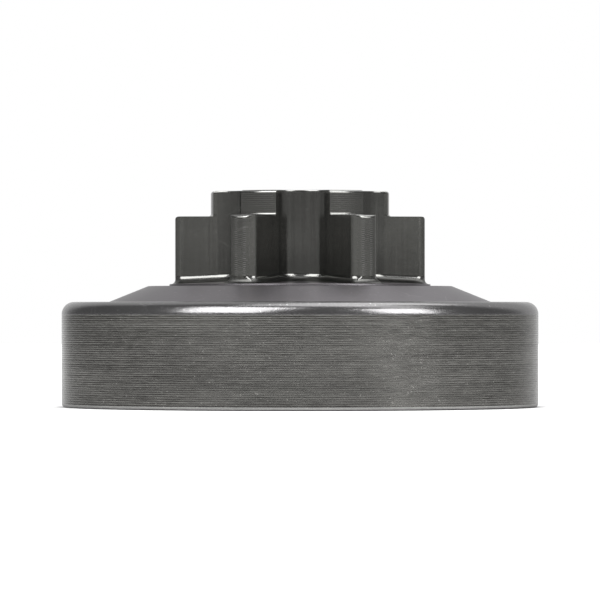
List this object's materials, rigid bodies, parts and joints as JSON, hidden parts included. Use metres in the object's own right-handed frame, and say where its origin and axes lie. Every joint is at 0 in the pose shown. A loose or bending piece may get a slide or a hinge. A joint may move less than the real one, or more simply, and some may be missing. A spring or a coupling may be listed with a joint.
{
  "type": "chainsaw sprocket",
  "caption": "Clutch drum with a stepped star sprocket cast on its web, turned all over and bored for a needle bearing; drives the saw chain.",
  "frame": {"origin": "centre of the drum's open rim, on the plane that it stands on", "axes": "+Z along the crankshaft axis towards the sprocket's free end; a gap between two teeth faces -Y"},
  "size_m": [0.07, 0.07, 0.0316],
  "materials": {
    "turned_steel": "turned and heat-darkened steel, fine feed marks on the drum wall"
  },
  "bodies": {
    "root": {"sprocket_drum": "turned_steel"}
  },
  "joints": []
}
